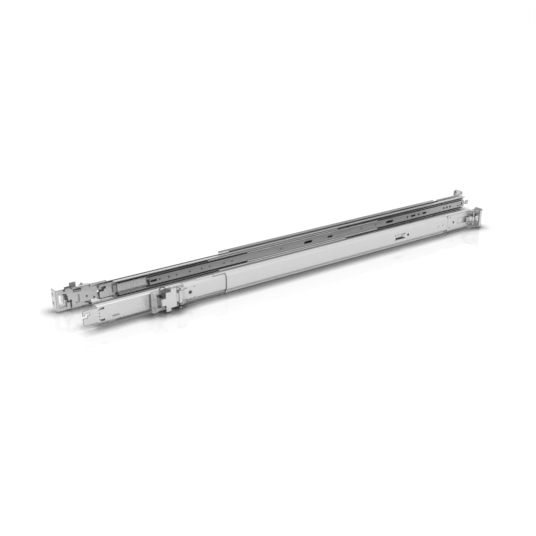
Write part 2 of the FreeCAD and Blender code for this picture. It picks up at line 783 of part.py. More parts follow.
for side, reach in (("left", left_reach), ("right", right_reach)):
    for name, shape in rail(reach).items():
        if side == "right":
            shape = shape.mirror(Vector(0, pair_width / 2, 0), Vector(0, 1, 0))
            shape.translate(Vector(pair_stagger, 0, 0))
        shape.translate(to_origin)
        shape.exportStep("parts/" + side + "_" + name + ".step")
        print(side, name, round(shape.Volume), shape.isValid(), len(shape.Solids))
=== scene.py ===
import bmesh
import bpy
import json
import math
from mathutils import Matrix, Vector


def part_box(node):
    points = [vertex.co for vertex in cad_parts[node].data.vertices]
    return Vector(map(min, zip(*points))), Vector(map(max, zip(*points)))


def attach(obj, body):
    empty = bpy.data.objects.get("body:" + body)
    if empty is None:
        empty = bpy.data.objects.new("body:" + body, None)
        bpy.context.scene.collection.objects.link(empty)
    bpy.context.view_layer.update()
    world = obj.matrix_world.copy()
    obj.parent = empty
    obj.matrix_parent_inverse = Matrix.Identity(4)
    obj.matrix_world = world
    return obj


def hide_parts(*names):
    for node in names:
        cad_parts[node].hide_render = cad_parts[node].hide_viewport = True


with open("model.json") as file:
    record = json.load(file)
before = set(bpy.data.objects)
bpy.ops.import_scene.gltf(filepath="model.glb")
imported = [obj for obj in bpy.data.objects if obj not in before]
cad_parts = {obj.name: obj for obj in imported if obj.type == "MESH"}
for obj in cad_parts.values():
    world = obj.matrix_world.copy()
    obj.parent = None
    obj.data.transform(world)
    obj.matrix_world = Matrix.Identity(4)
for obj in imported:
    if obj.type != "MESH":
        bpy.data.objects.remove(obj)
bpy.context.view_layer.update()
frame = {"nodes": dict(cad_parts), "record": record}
nodes = frame["nodes"]
mm = 0.001
mergeDistance = 0.001 * mm
sides = ("left", "right")
scene = bpy.context.scene
scene.view_settings.view_transform = "Standard"
print("frame loaded:", len(nodes), "nodes")


# camera: looks down along the rails from behind their rear ends
cameraView = {
    "aim": (-0.1207, -0.0328, 0.0200),
    "distance": 1.463,
    "elevation": 21.832,  # degrees above the floor
    "heading": 54.718,  # degrees from X towards Y
    "lens": 53.73,  # mm, as the sensor's width
    "sensor": 36,
    "clip": (0.02, 60),
}


def addCamera():
    data = bpy.data.cameras.new("camera")
    data.lens = cameraView["lens"]
    data.sensor_width = cameraView["sensor"]
    data.clip_start, data.clip_end = cameraView["clip"]
    camera = bpy.data.objects.new("camera", data)
    scene.collection.objects.link(camera)
    tilt = math.radians(cameraView["elevation"])
    heading = math.radians(cameraView["heading"])
    level = Vector((math.cos(heading), math.sin(heading), 0))
    ahead = level * math.cos(tilt) - Vector((0, 0, math.sin(tilt)))
    camera.location = Vector(cameraView["aim"]) - ahead * cameraView["distance"]
    camera.rotation_euler = (math.pi / 2 - tilt, 0, heading - math.pi / 2)
    scene.camera = camera


addCamera()
print("camera placed")


# node helpers for the materials
def addNode(tree, kind, **values):
    node = tree.nodes.new(kind)
    for name, value in values.items():
        if name in node.inputs:
            node.inputs[name].default_value = value
        else:
            setattr(node, name, value)
    return node


def join(tree, source, target):
    tree.links.new(source, target)


def newGroup(name, inputs, outputs):
    group = bpy.data.node_groups.new(name, "ShaderNodeTree")
    for label, kind, value in inputs:
        socket = group.interface.new_socket(name=label, in_out="INPUT", socket_type=kind)
        if value is not None:
            socket.default_value = value
    for label, kind in outputs:
        group.interface.new_socket(name=label, in_out="OUTPUT", socket_type=kind)
    return group, group.nodes.new("NodeGroupInput"), group.nodes.new("NodeGroupOutput")


# rolled grain: fine lines along the rolling direction, soft cloudy patches and zinc spangle
grainLook = {"stretch": (0.03, 1.0, 1.0), "lineDetail": 3.0, "lineRoughness": 0.65, "cloudDetail": 4.0,
             "cloudRoughness": 0.55, "speckleScale": 420.0}
grainDepth = 0.04 * mm


def rolledGrainGroup():
    group, start, end = newGroup(
        "rolledGrain",
        [("Vector", "NodeSocketVector", None), ("Lines", "NodeSocketFloat", 900.0),
         ("Clouds", "NodeSocketFloat", 60.0)],
        [("Line", "NodeSocketFloat"), ("Cloud", "NodeSocketFloat"), ("Speckle", "NodeSocketFloat")])
    stretch = addNode(group, "ShaderNodeVectorMath", operation="MULTIPLY")
    stretch.inputs[1].default_value = grainLook["stretch"]
    lines = addNode(group, "ShaderNodeTexNoise", Detail=grainLook["lineDetail"],
                    Roughness=grainLook["lineRoughness"])
    clouds = addNode(group, "ShaderNodeTexNoise", Detail=grainLook["cloudDetail"],
                     Roughness=grainLook["cloudRoughness"])
    speckle = addNode(group, "ShaderNodeTexVoronoi", feature="F1", Scale=grainLook["speckleScale"])
    join(group, start.outputs["Vector"], stretch.inputs[0])
    join(group, stretch.outputs[0], lines.inputs["Vector"])
    join(group, start.outputs["Lines"], lines.inputs["Scale"])
    join(group, start.outputs["Vector"], clouds.inputs["Vector"])
    join(group, start.outputs["Clouds"], clouds.inputs["Scale"])
    join(group, start.outputs["Vector"], speckle.inputs["Vector"])
    join(group, lines.outputs["Fac"], end.inputs["Line"])
    join(group, clouds.outputs["Fac"], end.inputs["Cloud"])
    join(group, speckle.outputs["Color"], end.inputs["Speckle"])
    return group


# soft edge: the surface normal, rounded over at every edge
def softEdgeGroup():
    group, start, end = newGroup("softEdge", [("Radius", "NodeSocketFloat", 0.0004)],
                                 [("Normal", "NodeSocketVector")])
    rounded = addNode(group, "ShaderNodeBevel", samples=4)
    join(group, start.outputs["Radius"], rounded.inputs["Radius"])
    join(group, rounded.outputs["Normal"], end.inputs["Normal"])
    return group


# crevice shade: a mask that is one in the open and falls towards zero deep in a channel
def creviceShadeGroup():
    group, start, end = newGroup(
        "creviceShade",
        [("Distance", "NodeSocketFloat", 0.012), ("Depth", "NodeSocketFloat", 1.0)],
        [("Open", "NodeSocketFloat")])
    hollow = addNode(group, "ShaderNodeAmbientOcclusion", samples=6)
    deeper = addNode(group, "ShaderNodeMath", operation="POWER", use_clamp=True)
    join(group, start.outputs["Distance"], hollow.inputs["Distance"])
    join(group, hollow.outputs["AO"], deeper.inputs[0])
    join(group, start.outputs["Depth"], deeper.inputs[1])
    join(group, deeper.outputs[0], end.inputs["Open"])
    return group


# cut edge: a mask that rises where there is little metal behind, so on sheared edges and not on flats;
# other pieces don't count
def cutEdgeGroup():
    group, start, end = newGroup(
        "cutEdge",
        [("Thickness", "NodeSocketFloat", 0.0012), ("Gain", "NodeSocketFloat", 2.0)],
        [("Mask", "NodeSocketFloat")])
    within = addNode(group, "ShaderNodeAmbientOcclusion", samples=6, inside=True, only_local=True)
    lost = addNode(group, "ShaderNodeMath", operation="SUBTRACT", use_clamp=True)
    lost.inputs[0].default_value = 1.0
    gain = addNode(group, "ShaderNodeMath", operation="MULTIPLY", use_clamp=True)
    join(group, start.outputs["Thickness"], within.inputs["Distance"])
    join(group, within.outputs["AO"], lost.inputs[1])
    join(group, lost.outputs[0], gain.inputs[0])
    join(group, start.outputs["Gain"], gain.inputs[1])
    join(group, gain.outputs[0], end.inputs["Mask"])
    return group


rolledGrain = rolledGrainGroup()
softEdge = softEdgeGroup()
creviceShade = creviceShadeGroup()
cutEdge = cutEdgeGroup()


def groupNode(tree, group, **values):
    node = tree.nodes.new("ShaderNodeGroup")
    node.node_tree = group
    for name, value in values.items():
        node.inputs[name].default_value = value
    return node


def mixColour(tree, factor, first, second):
    node = addNode(tree, "ShaderNodeMix", data_type="RGBA", blend_type="MIX")
    for socket, value in ((node.inputs[0], factor), (node.inputs[6], first), (node.inputs[7], second)):
        if isinstance(value, bpy.types.NodeSocket):
            join(tree, value, socket)
        else:
            socket.default_value = value
    return node.outputs[2]


def ranged(tree, value, low, high):
    node = addNode(tree, "ShaderNodeMapRange")
    node.inputs["To Min"].default_value = low
    node.inputs["To Max"].default_value = high
    join(tree, value, node.inputs["Value"])
    return node.outputs["Result"]


def sheetMetal(name, look):
    material = bpy.data.materials.new(name)
    material.use_nodes = True
    tree = material.node_tree
    shader = tree.nodes["Principled BSDF"]
    place = addNode(tree, "ShaderNodeTexCoord")
    grain = groupNode(tree, rolledGrain, Lines=look["lines"], Clouds=look["clouds"])
    edge = groupNode(tree, softEdge, Radius=look["edge"])
    outline = groupNode(tree, cutEdge, Thickness=look["rimReach"], Gain=look["rimGain"])
    crevice = groupNode(tree, creviceShade, Distance=look["creviceReach"])
    join(tree, place.outputs["Object"], grain.inputs["Vector"])
    light = tuple(look["colour"]) + (1.0,)
    dark = tuple(c * look["darker"] for c in look["colour"]) + (1.0,)
    rim = tuple(look["rim"]) + (1.0,)
    paintedCreviceShade = tuple(c * look["paintedShadeTint"] for c in look["colour"]) + (1.0,)
    base = mixColour(tree, ranged(tree, grain.outputs["Cloud"], 0.0, 1.0), dark, light)
    base = mixColour(tree, ranged(tree, grain.outputs["Line"], 0.0, look["lineTint"]), base, dark)
    base = mixColour(tree, ranged(tree, grain.outputs["Speckle"], 0.0, look["spangle"]), base, dark)
    # painted shade: where a hollow or channel closes in, the colour darkens towards a darker share of
    # itself
    base = mixColour(tree, crevice.outputs["Open"], paintedCreviceShade, base)
    # painted edge line: cut edges turn to the rim colour, a dark outline of painted shade, and a painted
    # highlight on the dark spring steel
    base = mixColour(tree, ranged(tree, outline.outputs["Mask"], 0.0, look["paintedEdgeStrength"]), base, rim)
    join(tree, base, shader.inputs["Base Color"])
    spread = addNode(tree, "ShaderNodeMath", operation="MULTIPLY_ADD")
    spread.inputs[1].default_value = look["roughSpread"]
    spread.inputs[2].default_value = look["rough"]
    join(tree, grain.outputs["Line"], spread.inputs[0])
    join(tree, spread.outputs[0], shader.inputs["Roughness"])
    shader.inputs["Metallic"].default_value = look["metallic"]
    bump = addNode(tree, "ShaderNodeBump", Strength=look["bump"], Distance=grainDepth)
    join(tree, grain.outputs["Line"], bump.inputs["Height"])
    join(tree, edge.outputs["Normal"], bump.inputs["Normal"])
    join(tree, bump.outputs["Normal"], shader.inputs["Normal"])
    return material


# metals, lengths in metres: the colour falls to darker in the grain, darkens in hollows as painted shade
# and turns to the rim colour on cut edges as a painted edge line
metalLooks = {
    "zinc_sheet": {
        "colour": (0.69, 0.69, 0.695), "darker": 0.93, "metallic": 0.85,
        "lines": 900.0, "lineTint": 0.3, "clouds": 60.0, "spangle": 0.25,
        "rim": (0.08, 0.08, 0.082), "paintedEdgeStrength": 0.75, "rimReach": 0.0012, "rimGain": 1.8,
        "creviceReach": 0.0015, "paintedShadeTint": 0.35,
        "edge": 0.0005, "rough": 0.26, "roughSpread": 0.12, "bump": 0.12,
    },
    "slide_steel": {
        "colour": (0.69, 0.69, 0.695), "darker": 0.90, "metallic": 0.9,
        "lines": 1200.0, "lineTint": 0.45, "clouds": 45.0, "spangle": 0.1,
        "rim": (0.08, 0.08, 0.082), "paintedEdgeStrength": 0.9, "rimReach": 0.0011, "rimGain": 2.2,
        "creviceReach": 0.003, "paintedShadeTint": 0.22,
        "edge": 0.0004, "rough": 0.22, "roughSpread": 0.12, "bump": 0.10,
    },
    # painted shade: a darker copy of the slide steel, for the inner members
    "shaded_slide_steel": {
        "colour": (0.46, 0.46, 0.465), "darker": 0.84, "metallic": 0.9,
        "lines": 1200.0, "lineTint": 0.5, "clouds": 45.0, "spangle": 0.1,
        "rim": (0.06, 0.06, 0.062), "paintedEdgeStrength": 0.9, "rimReach": 0.001, "rimGain": 2.4,
        "creviceReach": 0.003, "paintedShadeTint": 0.2,
        "edge": 0.0004, "rough": 0.24, "roughSpread": 0.12, "bump": 0.10,
    },
    "retainer_steel": {
        "colour": (0.86, 0.86, 0.87), "darker": 0.94, "metallic": 0.8,
        "lines": 1500.0, "lineTint": 0.2, "clouds": 80.0, "spangle": 0.0,
        "rim": (0.5, 0.5, 0.51), "paintedEdgeStrength": 0.5, "rimReach": 0.0004, "rimGain": 0.6,
        "creviceReach": 0.003, "paintedShadeTint": 0.7,
        "edge": 0.0002, "rough": 0.26, "roughSpread": 0.1, "bump": 0.08,
    },
    "ball_steel": {
        "colour": (0.80, 0.80, 0.81), "darker": 0.95, "metallic": 1.0,
        "lines": 600.0, "lineTint": 0.1, "clouds": 300.0, "spangle": 0.0,
        "rim": (0.7, 0.7, 0.71), "paintedEdgeStrength": 0.2, "rimReach": 0.0002, "rimGain": 0.3,
        "creviceReach": 0.003, "paintedShadeTint": 0.4,
        "edge": 0.0001, "rough": 0.08, "roughSpread": 0.05, "bump": 0.03,
    },
    "pin_steel": {
        "colour": (0.60, 0.60, 0.61), "darker": 0.86, "metallic": 0.9,
        "lines": 700.0, "lineTint": 0.3, "clouds": 200.0, "spangle": 0.0,
        "rim": (0.16, 0.16, 0.165), "paintedEdgeStrength": 0.7, "rimReach": 0.0006, "rimGain": 1.0,
        "creviceReach": 0.004, "paintedShadeTint": 0.3,
        "edge": 0.0003, "rough": 0.22, "roughSpread": 0.12, "bump": 0.15,
    },
    "spring_steel": {
        "colour": (0.12, 0.12, 0.13), "darker": 0.7, "metallic": 0.9,
        "lines": 500.0, "lineTint": 0.4, "clouds": 150.0, "spangle": 0.0,
        "rim": (0.3, 0.3, 0.31), "paintedEdgeStrength": 0.3, "rimReach": 0.0002, "rimGain": 0.5,
        "creviceReach": 0.003, "paintedShadeTint": 0.4,
        "edge": 0.0001, "rough": 0.32, "roughSpread": 0.12, "bump": 0.1,
    },
}


rubberLook = {"dark": (0.30, 0.30, 0.31, 1.0), "light": (0.38, 0.38, 0.39, 1.0), "pores": 1400.0,
              "poreDetail": 5.0, "poreRoughness": 0.7, "rough": (0.62, 0.8), "bump": 0.3,
              "bumpDepth": 0.1 * mm}


def rubberMaterial(name):
    material = bpy.data.materials.new(name)
    material.use_nodes = True
    tree = material.node_tree
    shader = tree.nodes["Principled BSDF"]
    place = addNode(tree, "ShaderNodeTexCoord")
    pores = addNode(tree, "ShaderNodeTexNoise", Detail=rubberLook["poreDetail"],
                    Roughness=rubberLook["poreRoughness"], Scale=rubberLook["pores"])
    join(tree, place.outputs["Object"], pores.inputs["Vector"])
    base = mixColour(tree, pores.outputs["Fac"], rubberLook["dark"], rubberLook["light"])
    join(tree, base, shader.inputs["Base Color"])
    join(tree, ranged(tree, pores.outputs["Fac"], *rubberLook["rough"]), shader.inputs["Roughness"])
    bump = addNode(tree, "ShaderNodeBump", Strength=rubberLook["bump"], Distance=rubberLook["bumpDepth"])
    join(tree, pores.outputs["Fac"], bump.inputs["Height"])
    join(tree, bump.outputs["Normal"], shader.inputs["Normal"])
    return material


materials = {name: sheetMetal(name, look) for name, look in metalLooks.items()}
materials["bumper_rubber"] = rubberMaterial("bumper_rubber")
print("materials made:", len(materials))


# every CAD node takes its slot's metal; the inner members take a darker copy of the slide steel, painted
# shade for the gap between the rails that they lie in
for part in frame["record"]["subparts"]:
    mesh = nodes[part["node"]].data
    mesh.materials.clear()
    nested = part["node"].endswith("inner_member")
    mesh.materials.append(materials["shaded_slide_steel" if nested else part["material_slot"]])


# where each rail is: +1 or -1 is the way its outer face looks along Y
outward = {"left": -1.0, "right": 1.0}


def railFrame(side):
    channelLow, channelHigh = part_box(side + "_support_channel")
    way = outward[side]
    return {
        "way": way,
        "webFace": channelHigh[1] if way > 0 else channelLow[1],
        "middle": (channelLow[2] + channelHigh[2]) / 2,
        "channelFront": channelHigh[0],
        "flangeRear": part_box(side + "_rear_bracket")[0][0],
        "slideRear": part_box(side + "_slide_outer_member")[0][0],
        "bracketFront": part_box(side + "_front_bracket")[1][0],
    }


rails = {side: railFrame(side) for side in sides}


# low and high corner of every loose solid in a CAD node, from the rear forwards
def solidBoxes(node):
    bm = bmesh.new()
    bm.from_mesh(nodes[node].data)
    bmesh.ops.remove_doubles(bm, verts=bm.verts, dist=mergeDistance)
    waiting = set(bm.verts)
    boxes = []
    while waiting:
        first = waiting.pop()
        found = [first]
        for vert in found:
            for edge in vert.link_edges:
                other = edge.other_vert(vert)
                if other in waiting:
                    waiting.remove(other)
                    found.append(other)
        low = Vector([min(vert.co[i] for vert in found) for i in range(3)])
        high = Vector([max(vert.co[i] for vert in found) for i in range(3)])
        boxes.append((low, high))
    bm.free()
    return sorted(boxes, key=lambda corners: tuple(corners[0]))


# merges the seams, turns every face outwards, gives the piece its slot's metal and its body and hides the
# node it replaces
def finishPiece(name, bm, body, slot, replaced=None, sharpAngle=35.0):
    bmesh.ops.remove_doubles(bm, verts=bm.verts, dist=mergeDistance)
    bmesh.ops.recalc_face_normals(bm, faces=bm.faces)
    for face in bm.faces:
        face.smooth = True
    mesh = bpy.data.meshes.new(name)
    bm.to_mesh(mesh)
    bm.free()
    mesh.set_sharp_from_angle(angle=math.radians(sharpAngle))
    mesh.materials.append(materials[slot])
    piece = bpy.data.objects.new(name, mesh)
    scene.collection.objects.link(piece)
    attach(piece, body)
    if replaced:
        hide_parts(replaced)


# steps round a turned form, and a dome's rings and share of its height sunk in the sheet below
turnedForm = {"steps": 24, "domeSteps": 16, "domeRings": 4, "domeSunk": 0.2}


# turned form: a (radius, height) profile spun round an axis
def turn(bm, profile, origin, axis, steps=turnedForm["steps"]):
    across = axis.orthogonal().normalized()
    verts = [bm.verts.new(origin + across * radius + axis * height) for radius, height in profile]
    edges = [bm.edges.new(pair) for pair in zip(verts, verts[1:])]
    bmesh.ops.spin(bm, geom=verts + edges, cent=origin, axis=axis, angle=2 * math.pi, steps=steps,
                   use_merge=True)


# domed head that stands on a sheet and is closed below it
def addDome(bm, centre, axis, radius, height, steps=turnedForm["domeSteps"]):
    rings = turnedForm["domeRings"]
    foot = -height * turnedForm["domeSunk"]
    arc = [(radius * math.cos(i * math.pi / 2 / rings), height * math.sin(i * math.pi / 2 / rings))
           for i in range(rings)]
    turn(bm, [(0.0, foot), (radius, foot)] + arc + [(0.0, height)], centre, axis, steps)


# round pin between two corners, chamfered at both ends
def addPin(bm, low, high, axis, chamfer):
    length = (high - low).dot(axis)
    centre = (low + high) / 2 - axis * length / 2
    radius = max((high - low)[i] for i in range(3) if abs(axis[i]) < 0.5) / 2
    turn(bm, [(0.0, 0.0), (radius - chamfer, 0.0), (radius, chamfer), (radius, length - chamfer),
              (radius - chamfer, length), (0.0, length)], centre, axis)


# sweeps a ring of wire round an axis, draws its start out into a straight leg, closes both ends
def sweepWire(bm, ring, centre, axis, angle, steps, rise=0.0, leg=None):
    start = [edge for edge in bm.edges if edge.verts[0] in ring]
    swept = bmesh.ops.spin(bm, geom=ring + start, cent=centre, axis=axis, dvec=(0, 0, rise), angle=angle,
                           steps=steps)
    end = [part for part in swept["geom_last"] if isinstance(part, bmesh.types.BMEdge)]
    if leg:
        drawn = bmesh.ops.extrude_edge_only(bm, edges=start)["geom"]
        tip = [part for part in drawn if isinstance(part, bmesh.types.BMVert)]
        bmesh.ops.translate(bm, verts=tip, vec=leg)
        start = [edge for edge in bm.edges if all(vert in tip for vert in edge.verts)]
    bmesh.ops.edgeloop_fill(bm, edges=start)
    bmesh.ops.edgeloop_fill(bm, edges=end)


# block with its edges rounded over
def addPlate(bm, low, high, rounding):
    shape = bmesh.ops.create_cube(bm, size=1.0)["verts"]
    size = Vector([abs(high[i] - low[i]) for i in range(3)])
    centre = (Vector(low) + Vector(high)) / 2
    bmesh.ops.scale(bm, vec=size, verts=shape)
    bmesh.ops.translate(bm, vec=centre, verts=shape)
    rim = [edge for edge in bm.edges if edge.verts[0] in shape]
    bmesh.ops.bevel(bm, geom=rim, offset=rounding, offset_type="OFFSET", segments=2, profile=0.5,
                    affect="EDGES", material=-1, clamp_overlap=True)


# balls: a full row of round balls in each retainer strip, from the first and last ball of the CAD row
ballRow = {"pitch": 11.0 * mm, "segments": 12, "rings": 8}


def addBallRows(side, which):
    node = side + "_" + which + "_balls"
    rows = {}
    for low, high in solidBoxes(node):
        radius = (high.z - low.z) / 2
        centre = (low + high) / 2
        rows.setdefault(round(centre.z / mm), []).append(centre)
    bm = bmesh.new()
    for row in rows.values():
        row.sort(key=lambda centre: centre.x)
        first, last = row[0], row[-1]
        count = round((last.x - first.x) / ballRow["pitch"])
        for i in range(count + 1):
            place = first.lerp(last, i / count)
            bmesh.ops.create_uvsphere(bm, u_segments=ballRow["segments"], v_segments=ballRow["rings"],
                                      radius=radius, matrix=Matrix.Translation(place))
    finishPiece(side + "BallRows_" + which, bm, side + "_" + which + "_retainer", "ball_steel", node)


for side in sides:
    for which in ("outer", "inner"):
        addBallRows(side, which)
print("ball rows made")


# rear latch: pin with chamfered ends, domed rivets and a wound spring, whose wire fills wireFill of
# its pitch and runs out in a leg towards the rail
rearLatch = {"pinChamfer": 0.5 * mm, "rivetSteps": 24, "springTurns": 5, "springSteps": 20, "wireSides": 8,
             "wireFill": 0.96, "springSharp": 60.0}


def addRearLatchPin(side):
    bm = bmesh.new()
    for low, high in solidBoxes(side + "_rear_latch_pin"):
        addPin(bm, low, high, Vector((0, 0, 1)), rearLatch["pinChamfer"])
    finishPiece(side + "RearLatchPin", bm, side + "_bracket", "pin_steel", side + "_rear_latch_pin")


def addRearLatchRivets(side):
    bm = bmesh.new()
    way = Vector((0, rails[side]["way"], 0))
    for low, high in solidBoxes(side + "_rear_latch_rivets"):
        seat = (low + high) / 2 - way * (high.y - low.y) / 2
        addDome(bm, seat, way, (high.x - low.x) / 2, high.y - low.y, steps=rearLatch["rivetSteps"])
    finishPiece(side + "RearLatchRivets", bm, side + "_bracket", "pin_steel",
                side + "_rear_latch_rivets")


def addRearLatchSpring(side):
    low, high = [Vector(corner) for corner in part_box(side + "_rear_latch_spring")]
    pinLow, pinHigh = [Vector(corner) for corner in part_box(side + "_rear_latch_pin")]
    centre = (pinLow + pinHigh) / 2
    coilRadius = (high.x - low.x) / 2
    turns = rearLatch["springTurns"]
    pitch = (high.z - low.z) / (turns + 1)
    wire = pitch / 2 * rearLatch["wireFill"]
    bm = bmesh.new()
    ring = bmesh.ops.create_circle(bm, segments=rearLatch["wireSides"], radius=wire)["verts"]
    bmesh.ops.rotate(bm, verts=ring, cent=(0, 0, 0), matrix=Matrix.Rotation(math.pi / 2, 3, "X"))
    start = Vector((centre.x + coilRadius - wire, centre.y, low.z + pitch / 2))
    bmesh.ops.translate(bm, verts=ring, vec=start)
    way = rails[side]["way"]
    legEnd = high.y if way < 0 else low.y
    sweepWire(bm, ring, (centre.x, centre.y, start.z), (0, 0, 1), way * 2 * math.pi * turns,
              turns * rearLatch["springSteps"], pitch / rearLatch["springSteps"],
              (0, legEnd - centre.y, 0))
    finishPiece(side + "RearLatchSpring", bm, side + "_bracket", "spring_steel",
                side + "_rear_latch_spring", rearLatch["springSharp"])


# sliding arm: pressed ring round its hole and four small dimples, set back from the flange; the ring's
# inner lip starts at ringShoulder of its height
armMarks = {"fromFlange": 74.0 * mm, "inset": 1.9 * mm, "ringInner": 2.1 * mm, "ringOuter": 3.7 * mm,
            "ringProud": 0.45 * mm, "ringShoulder": 0.6, "dimpleAcross": 8.0 * mm, "dimpleUp": 9.9 * mm,
            "dimpleDrop": 1.0 * mm, "dimpleRadius": 1.1 * mm, "dimpleProud": 0.45 * mm}


def addArmMarks(side):
    rail = rails[side]
    way = Vector((0, rail["way"], 0))
    x = rail["flangeRear"] + armMarks["fromFlange"]
    y = rail["webFace"] - rail["way"] * armMarks["inset"]
    bm = bmesh.new()
    inner, outer, proud = armMarks["ringInner"], armMarks["ringOuter"], armMarks["ringProud"]
    turn(bm, [(inner, -proud), (inner, proud * armMarks["ringShoulder"]), (inner + proud, proud),
              (outer - proud, proud), (outer, 0.0), (outer, -proud), (inner, -proud)],
         Vector((x, y, rail["middle"])), way)
    for across in (-1, 1):
        for up in (-1, 1):
            place = Vector((x + across * armMarks["dimpleAcross"], y,
                            rail["middle"] + up * armMarks["dimpleUp"] - armMarks["dimpleDrop"]))
            addDome(bm, place, way, armMarks["dimpleRadius"], armMarks["dimpleProud"])
    finishPiece(side + "ArmPressings", bm, side + "_bracket", "zinc_sheet")


# spring clip on the server side of the rear bracket: a wire bow over the top edge, dark wires below
# and flat-headed rivets; the wires from 50 to 62 mm and from 72 to 77 mm and the rivet at 67 mm trace
# the slide tail's J-notch as painted shade, dark wire put where that notch shows shade; rivets and wires
# are in mm, along X from the rack flange and up
clipMarks = {"faceInset": 3.4 * mm, "wire": 0.9 * mm, "wireSides": 8, "bow": (16.0 * mm, 28.0 * mm),
             "bowFoot": 36.5 * mm, "bowHeight": 5.0 * mm, "bowSteps": 14,
             "rivets": ((19.0, 25.0), (20.5, 15.0), (26.0, 15.0), (54.0, 17.0), (67.0, 12.0), (15.0, 36.0)),
             "rivetRadius": 1.7 * mm, "rivetProud": 0.9 * mm,
             "wiresAndNotchShade": ((25.5, 3.4, 25.5, 14.0), (50.0, 7.0, 56.0, 6.0), (56.0, 6.0, 57.0, 2.6),
                       (57.0, 2.6, 62.0, 2.2), (72.0, 9.0, 75.0, 6.5), (77.0, 8.0, 77.0, 19.0),
                       (31.0, 33.4, 45.0, 33.4), (19.0, 25.0, 20.5, 15.0), (20.5, 15.0, 26.0, 15.0))}


def addWire(bm, start, end):
    run = end - start
    turned = run.to_track_quat("Z", "X").to_matrix().to_4x4()
    place = Matrix.Translation((start + end) / 2) @ turned
    bmesh.ops.create_cone(bm, cap_ends=True, segments=clipMarks["wireSides"], radius1=clipMarks["wire"],
                          radius2=clipMarks["wire"], depth=run.length, matrix=place)


def addSpringClip(side):
    rail = rails[side]
    way = Vector((0, -rail["way"], 0))
    face = rail["webFace"] - rail["way"] * clipMarks["faceInset"]
    wire = clipMarks["wire"]
    bm = bmesh.new()

    def onPlate(along, up):
        return Vector((rail["flangeRear"] + along * mm, face, up * mm)) + way * wire

    first, last = clipMarks["bow"]
    reach = (last - first) / 2
    centre = Vector((rail["flangeRear"] + (first + last) / 2, face + way.y * wire, clipMarks["bowFoot"]))
    ring = bmesh.ops.create_circle(bm, segments=clipMarks["wireSides"], radius=wire)["verts"]
    bmesh.ops.translate(bm, verts=ring, vec=centre + Vector((reach, 0, 0)))
    sweepWire(bm, ring, centre, (0, -1, 0), math.pi, clipMarks["bowSteps"])
    bmesh.ops.scale(bm, vec=(1, 1, clipMarks["bowHeight"] / reach), verts=bm.verts[:],
                    space=Matrix.Translation(-centre))
    # painted shade: the dark wires on the slide tail's J-notch are among these
    for along, up, alongEnd, upEnd in clipMarks["wiresAndNotchShade"]:
        addWire(bm, onPlate(along, up), onPlate(alongEnd, upEnd))
    finishPiece(side + "SpringClipAndNotchShade", bm, side + "_bracket", "spring_steel")
    bm = bmesh.new()
    # painted shade: the dark rivet at 67 mm sits on the slide tail's J-notch
    for along, up in clipMarks["rivets"]:
        addDome(bm, onPlate(along, up) - way * wire, way, clipMarks["rivetRadius"],
                clipMarks["rivetProud"] + wire)
    finishPiece(side + "ClipRivetsAndNotchShade", bm, side + "_bracket", "spring_steel")


for side in sides:
    addRearLatchPin(side)
    addRearLatchRivets(side)
    addRearLatchSpring(side)
    addArmMarks(side)
    addSpringClip(side)
print("rear bracket details made")


# slide and channel: collars, rivet heads on the foremost collars, tail dimples, rubber stop and lever
# rivet, whose flat face and slope are shares of its radius
slideMarks = {"collarChamfer": 0.3 * mm, "rivetRadius": 1.9 * mm, "rivetProud": 0.5 * mm, "webRivets": 2,
              "dimpleBack": 28.0 * mm, "dimpleInset": 6.5 * mm, "dimplePitch": 5.6 * mm, "dimples": 4,
              "dimpleRadius": 1.0 * mm, "dimpleProud": 0.4 * mm, "stopRound": 1.1 * mm,
              "leverRivetFace": 0.6, "leverRivetSlope": 0.35}


def addCollars(side):
    bm = bmesh.new()
    for low, high in solidBoxes(side + "_web_spacers"):
        addPin(bm, low, high, Vector((0, 1, 0)), slideMarks["collarChamfer"])
    finishPiece(side + "WebCollars", bm, "rail_frames", "pin_steel", side + "_web_spacers")


def addWebRivets(side):
    rail = rails[side]
    bm = bmesh.new()
    for low, high in solidBoxes(side + "_web_spacers")[-slideMarks["webRivets"]:]:
        place = Vector(((low.x + high.x) / 2, rail["webFace"], rail["middle"]))
        addDome(bm, place, Vector((0, rail["way"], 0)), slideMarks["rivetRadius"],
                slideMarks["rivetProud"])
    finishPiece(side + "WebRivetHeads", bm, "rail_frames", "pin_steel")


def addTailDimples(side):
    rail = rails[side]
    bm = bmesh.new()
    y = rail["webFace"] - rail["way"] * slideMarks["dimpleInset"]
    for i in range(slideMarks["dimples"]):
        z = rail["middle"] + (i - (slideMarks["dimples"] - 1) / 2) * slideMarks["dimplePitch"]
        place = Vector((rail["slideRear"] + slideMarks["dimpleBack"], y, z))
        addDome(bm, place, Vector((0, rail["way"], 0)), slideMarks["dimpleRadius"],
                slideMarks["dimpleProud"])
    finishPiece(side + "TailDimples", bm, "rail_frames", "slide_steel")


def addRubberStop(side):
    low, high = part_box(side + "_rear_bumper")
    bm = bmesh.new()
    addPlate(bm, low, high, slideMarks["stopRound"])
    finishPiece(side + "RubberStop", bm, "rail_frames", "bumper_rubber", side + "_rear_bumper")


def addLeverRivet(side):
    low, high = [Vector(corner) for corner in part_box(side + "_release_lever_pivot")]
    way = Vector((0, -rails[side]["way"], 0))
    length = high.y - low.y
    foot = (low + high) / 2 - way * length / 2
    radius = (high.x - low.x) / 2
    bm = bmesh.new()
    turn(bm, [(0.0, 0.0), (radius * slideMarks["leverRivetFace"], 0.0),
              (radius, radius * slideMarks["leverRivetSlope"]), (radius, length), (0.0, length)], foot, way)
    finishPiece(side + "LeverRivet", bm, side + "_inner_member", "pin_steel",
                side + "_release_lever_pivot")


for side in sides:
    addCollars(side)
    addWebRivets(side)
    addTailDimples(side)
    addRubberStop(side)
    addLeverRivet(side)
print("slide details made")


